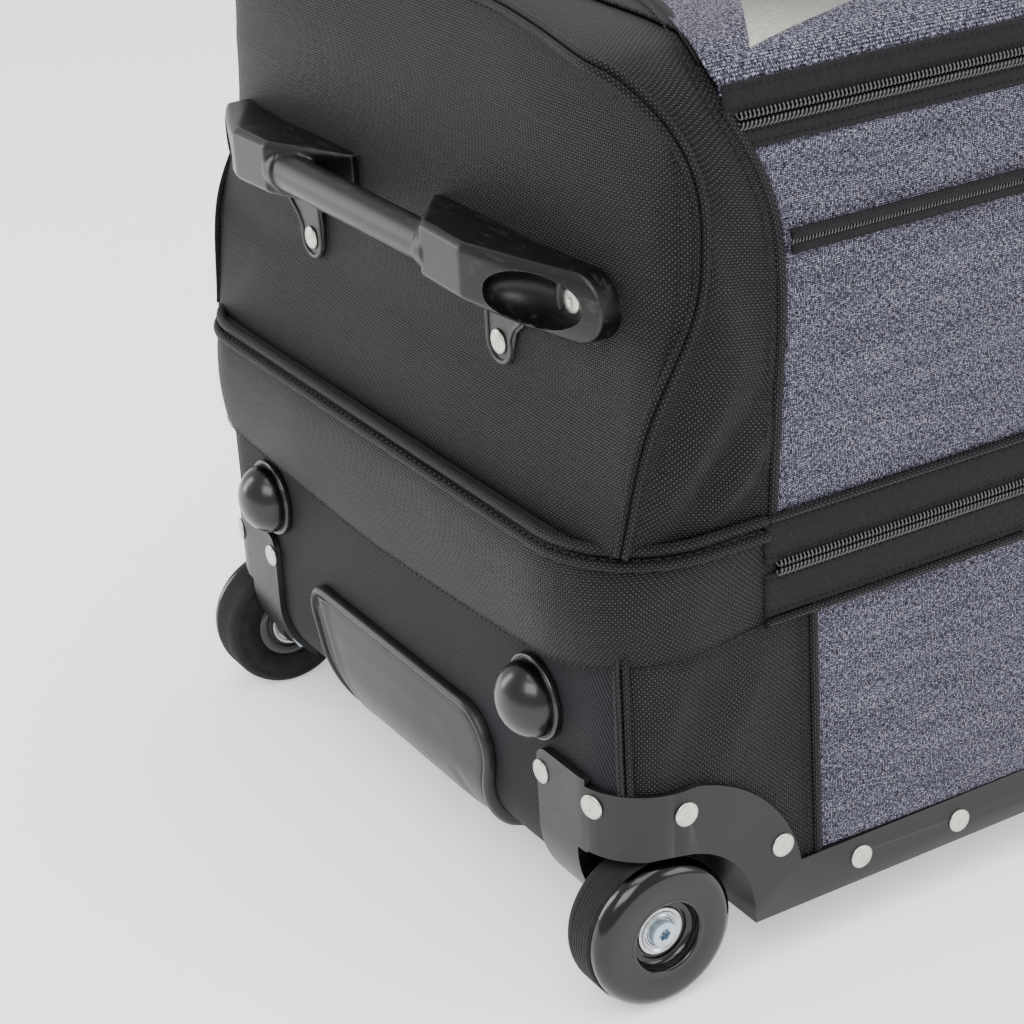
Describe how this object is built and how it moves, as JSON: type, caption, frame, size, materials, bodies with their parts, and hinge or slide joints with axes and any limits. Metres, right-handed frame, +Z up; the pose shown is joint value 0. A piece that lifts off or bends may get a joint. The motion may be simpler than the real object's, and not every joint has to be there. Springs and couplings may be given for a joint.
{
  "type": "bowling ball bag",
  "caption": "Wheeled two-deck bowling ball bag with zip-round shoe deck, zipped lid, moulded wheel housings, grab handle and trolley handle.",
  "frame": {"origin": "on the ground under the middle of the bag's outline, handle pushed in", "axes": "+X along the bag from the wheel end to the trolley handle, +Y to the left side, +Z up"},
  "size_m": [0.776, 0.395, 0.4],
  "materials": {
    "ballistic_fabric": "woven ballistic nylon, basket weave, matt with small bright highlights",
    "heather_fabric": "heather grey-blue polyester canvas",
    "lid_fabric": "heather canvas with a printed angular pattern",
    "lining_fabric": "plain lining over a stiff sheet",
    "webbing": "ribbed nylon webbing",
    "zip_tape": "knitted tape with moulded coil teeth",
    "zip_metal": "black lacquered die casting",
    "foam": "closed-cell foam",
    "board": "plain stiffening board",
    "housing_plastic": "moulded, satin",
    "handle_plastic": "moulded, satin with rubbed edges",
    "dome_rubber": "moulded, satin",
    "wheel_rubber": "matt tread, glossy face",
    "hub_plastic": "moulded, glossy",
    "rivet_metal": "dull nickel plate",
    "bearing_steel": "ground steel",
    "zinc": "zinc plate",
    "tube_aluminium": "satin anodised"
  },
  "bodies": {
    "root": {"bottom_panel": "ballistic_fabric", "base_board": "board", "ball_tray": "foam", "lower_side_left": "heather_fabric", "lower_side_right": "heather_fabric", "lower_end_wheel": "ballistic_fabric", "lower_end_far": "ballistic_fabric", "lower_gussets": "ballistic_fabric", "hinge_band_lower": "ballistic_fabric", "deck_zip_lower": "zip_tape", "wheel_housing_left": "housing_plastic", "wheel_housing_right": "housing_plastic", "corner_foot_left": "housing_plastic", "corner_foot_right": "housing_plastic", "kick_plate": "handle_plastic", "bumper_domes": "dome_rubber", "base_rivets": "rivet_metal", "handle_bezel": "housing_plastic", "outer_tubes": "tube_aluminium", "axle_bolt_left": "zinc", "axle_bolt_right": "zinc", "axle_nuts": "zinc", "bearing_inner_left": "bearing_steel", "bearing_inner_right": "bearing_steel", "bearing_spacers": "bearing_steel"},
    "wheel_left": {"tyre_left": "wheel_rubber", "hub_left": "hub_plastic", "bearing_outer_left": "bearing_steel"},
    "wheel_right": {"tyre_right": "wheel_rubber", "hub_right": "hub_plastic", "bearing_outer_right": "bearing_steel"},
    "trolley": {"inner_tubes": "tube_aluminium", "grip_shell": "housing_plastic"},
    "button": {"release_button": "housing_plastic"},
    "release_rods": {"release_yoke": "housing_plastic"},
    "upper_deck": {"upper_side_left": "heather_fabric", "upper_side_right": "heather_fabric", "upper_end_wheel": "ballistic_fabric", "upper_end_far": "ballistic_fabric", "upper_gusset_wheel": "ballistic_fabric", "upper_gusset_far": "ballistic_fabric", "divider_panel": "lining_fabric", "hinge_band_upper": "ballistic_fabric", "deck_zip_upper": "zip_tape", "lid_zip_lower": "zip_tape", "pocket_zip": "zip_tape", "grab_handle": "handle_plastic", "grab_handle_rivets": "rivet_metal", "strap_anchors": "webbing"},
    "strap_left": {"carry_strap_left": "webbing"},
    "strap_right": {"carry_strap_right": "webbing"},
    "lid": {"lid_panel": "lid_fabric", "lid_zip_upper": "zip_tape"},
    "deck_slider": {"deck_zip_slider": "zip_metal"},
    "deck_pull": {"deck_zip_pull": "zip_metal"},
    "lid_slider": {"lid_zip_slider": "zip_metal"},
    "lid_pull": {"lid_zip_pull": "zip_metal"},
    "pocket_slider": {"pocket_zip_slider": "zip_metal"},
    "pocket_pull": {"pocket_zip_pull": "zip_metal"}
  },
  "joints": [
    {"name": "wheel_left_spin", "type": "hinge", "parent": "root", "child": "wheel_left", "pos_m": [-0.3516, 0.173, 0.034], "axis": [0, 1, 0], "continuous": true},
    {"name": "wheel_right_spin", "type": "hinge", "parent": "root", "child": "wheel_right", "pos_m": [-0.3516, -0.173, 0.034], "axis": [0, 1, 0], "continuous": true},
    {"name": "deck_hinge", "type": "hinge", "parent": "root", "child": "upper_deck", "pos_m": [-0.381, 0, 0.187], "axis": [0, -1, 0], "range_deg": [0, 100]},
    {"name": "lid_hinge", "type": "hinge", "parent": "upper_deck", "child": "lid", "pos_m": [-0.3107, 0, 0.4], "axis": [0, -1, 0], "range_deg": [0, 110]},
    {"name": "handle_slide", "type": "slide", "parent": "root", "child": "trolley", "axis": [1, 0, 0], "range_m": [0, 0.4]},
    {"name": "button_press", "type": "slide", "parent": "trolley", "child": "button", "axis": [-1, 0, 0], "range_m": [0, 0.004], "stiffness_N_per_m": 800},
    {"name": "release_rod_slide", "type": "slide", "parent": "trolley", "child": "release_rods", "axis": [-1, 0, 0], "range_m": [0, 0.004]},
    {"name": "strap_left_lift", "type": "hinge", "parent": "upper_deck", "child": "strap_left", "pos_m": [0.0016, 0.196, 0.337], "axis": [1, 0, 0], "range_deg": [0, 165]},
    {"name": "strap_right_lift", "type": "hinge", "parent": "upper_deck", "child": "strap_right", "pos_m": [0.0016, -0.196, 0.337], "axis": [-1, 0, 0], "range_deg": [0, 165]},
    {"name": "deck_zip_travel", "type": "slide", "parent": "root", "child": "deck_slider", "axis": [1, 0, 0], "range_m": [0, 0.55]},
    {"name": "deck_pull_swing", "type": "hinge", "parent": "deck_slider", "child": "deck_pull", "pos_m": [-0.289, 0.1883, 0.187], "axis": [1, 0, 0], "range_deg": [0, 120]},
    {"name": "lid_zip_travel", "type": "slide", "parent": "upper_deck", "child": "lid_slider", "axis": [1, 0, 0], "range_m": [0, 0.55]},
    {"name": "lid_pull_swing", "type": "hinge", "parent": "lid_slider", "child": "lid_pull", "pos_m": [-0.293, 0.1883, 0.3715], "axis": [1, 0, 0], "range_deg": [0, 120]},
    {"name": "pocket_zip_travel", "type": "slide", "parent": "upper_deck", "child": "pocket_slider", "axis": [-1, 0, 0], "range_m": [0, 0.48]},
    {"name": "pocket_pull_swing", "type": "hinge", "parent": "pocket_slider", "child": "pocket_pull", "pos_m": [0.226, -0.1902, 0.322], "axis": [-1, 0, 0], "range_deg": [0, 120]}
  ],
  "couplings": [
    {"joint": "release_rod_slide", "follows": "button_press", "ratio": 1}
  ]
}
